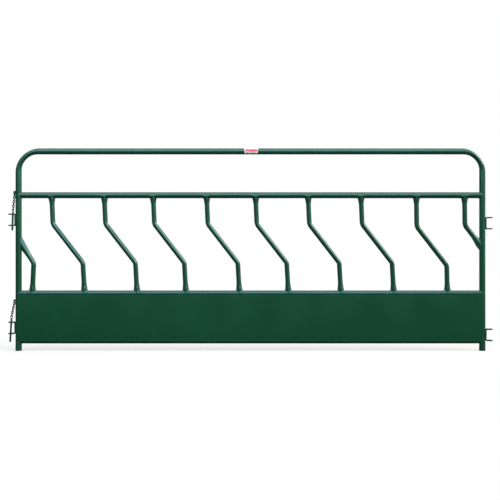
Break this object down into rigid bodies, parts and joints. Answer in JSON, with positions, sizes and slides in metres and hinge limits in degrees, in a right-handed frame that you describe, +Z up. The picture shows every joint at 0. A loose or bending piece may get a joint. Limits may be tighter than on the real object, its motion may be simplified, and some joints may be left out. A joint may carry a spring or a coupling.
{
  "type": "hay feeder panel",
  "caption": "Slant bar hay feeder panel: bent tube frame with three rails, crushed S bars, a sheet steel base, rod loops at both ends and drop pins on chains.",
  "frame": {"origin": "on the ground under the middle of the panel, in the plane of the tubes' axes", "axes": "+X along the panel to its free loops, -X to its chains and pins, +Z up, and the sheet is on the -Y side where the animals stand"},
  "size_m": [3.7716, 0.0513, 1.5748],
  "materials": {
    "tube_enamel": "glossy dark green enamel",
    "sheet_enamel": "semi gloss dark green enamel",
    "rod_enamel": "satin dark green enamel, rubbed where the rods touch",
    "chain_enamel": "satin dark green enamel over bare welded links"
  },
  "bodies": {
    "panel": {"outer_frame": "tube_enamel", "mid_rail": "tube_enamel", "lower_rail": "tube_enamel", "bottom_rail": "tube_enamel", "sheet": "sheet_enamel", "slant_bar_1": "tube_enamel", "slant_bar_2": "tube_enamel", "slant_bar_3": "tube_enamel", "slant_bar_4": "tube_enamel", "slant_bar_5": "tube_enamel", "slant_bar_6": "tube_enamel", "slant_bar_7": "tube_enamel", "slant_bar_8": "tube_enamel", "left_half_bar": "tube_enamel", "right_half_bar": "tube_enamel", "left_upper_loop": "rod_enamel", "left_lower_loop": "rod_enamel", "right_upper_loop": "rod_enamel", "right_lower_loop": "rod_enamel", "upper_anchor_link": "chain_enamel", "lower_anchor_link": "chain_enamel"},
    "upper_link_1": {"upper_chain_link_1": "chain_enamel"},
    "upper_link_2": {"upper_chain_link_2": "chain_enamel"},
    "upper_link_3": {"upper_chain_link_3": "chain_enamel"},
    "upper_link_4": {"upper_chain_link_4": "chain_enamel"},
    "upper_link_5": {"upper_chain_link_5": "chain_enamel"},
    "upper_link_6": {"upper_chain_link_6": "chain_enamel"},
    "upper_pin": {"upper_pin_link": "chain_enamel", "upper_drop_pin": "rod_enamel"},
    "lower_link_1": {"lower_chain_link_1": "chain_enamel"},
    "lower_link_2": {"lower_chain_link_2": "chain_enamel"},
    "lower_link_3": {"lower_chain_link_3": "chain_enamel"},
    "lower_link_4": {"lower_chain_link_4": "chain_enamel"},
    "lower_link_5": {"lower_chain_link_5": "chain_enamel"},
    "lower_link_6": {"lower_chain_link_6": "chain_enamel"},
    "lower_pin": {"lower_pin_link": "chain_enamel", "lower_drop_pin": "rod_enamel"}
  },
  "joints": [
    {"name": "upper_chain_swing", "type": "hinge", "parent": "panel", "child": "upper_link_1", "pos_m": [-1.8388, 0, 1.19996], "axis": [0, 1, 0], "range_deg": [0, 60]},
    {"name": "upper_link_2_turn", "type": "hinge", "parent": "upper_link_1", "child": "upper_link_2", "pos_m": [-1.8398, 0, 1.18951], "axis": [0, 1, 0], "range_deg": [0, 40.1]},
    {"name": "upper_link_3_turn", "type": "hinge", "parent": "upper_link_2", "child": "upper_link_3", "pos_m": [-1.84215, 0, 1.16492], "axis": [0, 1, 0], "range_deg": [-50.1, 0]},
    {"name": "upper_link_4_turn", "type": "hinge", "parent": "upper_link_3", "child": "upper_link_4", "pos_m": [-1.84315, 0, 1.15446], "axis": [0, 1, 0], "range_deg": [-60.1, 0]},
    {"name": "upper_link_5_turn", "type": "hinge", "parent": "upper_link_4", "child": "upper_link_5", "pos_m": [-1.84549, 0, 1.12988], "axis": [0, 1, 0], "range_deg": [-60.1, 0]},
    {"name": "upper_link_6_turn", "type": "hinge", "parent": "upper_link_5", "child": "upper_link_6", "pos_m": [-1.84649, 0, 1.11942], "axis": [0, 1, 0], "range_deg": [-30.1, 0]},
    {"name": "upper_pin_turn", "type": "hinge", "parent": "upper_link_6", "child": "upper_pin", "pos_m": [-1.84884, 0, 1.09484], "axis": [0, 1, 0], "range_deg": [0, 100.1]},
    {"name": "lower_chain_swing", "type": "hinge", "parent": "panel", "child": "lower_link_1", "pos_m": [-1.8388, 0, 0.37171], "axis": [0, 1, 0], "range_deg": [0, 60]},
    {"name": "lower_link_2_turn", "type": "hinge", "parent": "lower_link_1", "child": "lower_link_2", "pos_m": [-1.84089, 0, 0.36142], "axis": [0, 1, 0], "range_deg": [0, 40.1]},
    {"name": "lower_link_3_turn", "type": "hinge", "parent": "lower_link_2", "child": "lower_link_3", "pos_m": [-1.8458, 0, 0.33721], "axis": [0, 1, 0], "range_deg": [-50.1, 0]},
    {"name": "lower_link_4_turn", "type": "hinge", "parent": "lower_link_3", "child": "lower_link_4", "pos_m": [-1.84788, 0, 0.32692], "axis": [0, 1, 0], "range_deg": [-60.1, 0]},
    {"name": "lower_link_5_turn", "type": "hinge", "parent": "lower_link_4", "child": "lower_link_5", "pos_m": [-1.85279, 0, 0.30272], "axis": [0, 1, 0], "range_deg": [-60.1, 0]},
    {"name": "lower_link_6_turn", "type": "hinge", "parent": "lower_link_5", "child": "lower_link_6", "pos_m": [-1.85488, 0, 0.29242], "axis": [0, 1, 0], "range_deg": [-30.1, 0]},
    {"name": "lower_pin_turn", "type": "hinge", "parent": "lower_link_6", "child": "lower_pin", "pos_m": [-1.85979, 0, 0.26822], "axis": [0, 1, 0], "range_deg": [0, 100.1]}
  ],
  "couplings": [
    {"joint": "upper_link_2_turn", "follows": "upper_chain_swing", "ratio": 0.6667},
    {"joint": "upper_link_3_turn", "follows": "upper_chain_swing", "ratio": -0.8333},
    {"joint": "upper_link_4_turn", "follows": "upper_chain_swing", "ratio": -1},
    {"joint": "upper_link_5_turn", "follows": "upper_chain_swing", "ratio": -1},
    {"joint": "upper_link_6_turn", "follows": "upper_chain_swing", "ratio": -0.5},
    {"joint": "upper_pin_turn", "follows": "upper_chain_swing", "ratio": 1.6667},
    {"joint": "lower_link_2_turn", "follows": "lower_chain_swing", "ratio": 0.6667},
    {"joint": "lower_link_3_turn", "follows": "lower_chain_swing", "ratio": -0.8333},
    {"joint": "lower_link_4_turn", "follows": "lower_chain_swing", "ratio": -1},
    {"joint": "lower_link_5_turn", "follows": "lower_chain_swing", "ratio": -1},
    {"joint": "lower_link_6_turn", "follows": "lower_chain_swing", "ratio": -0.5},
    {"joint": "lower_pin_turn", "follows": "lower_chain_swing", "ratio": 1.6667}
  ]
}
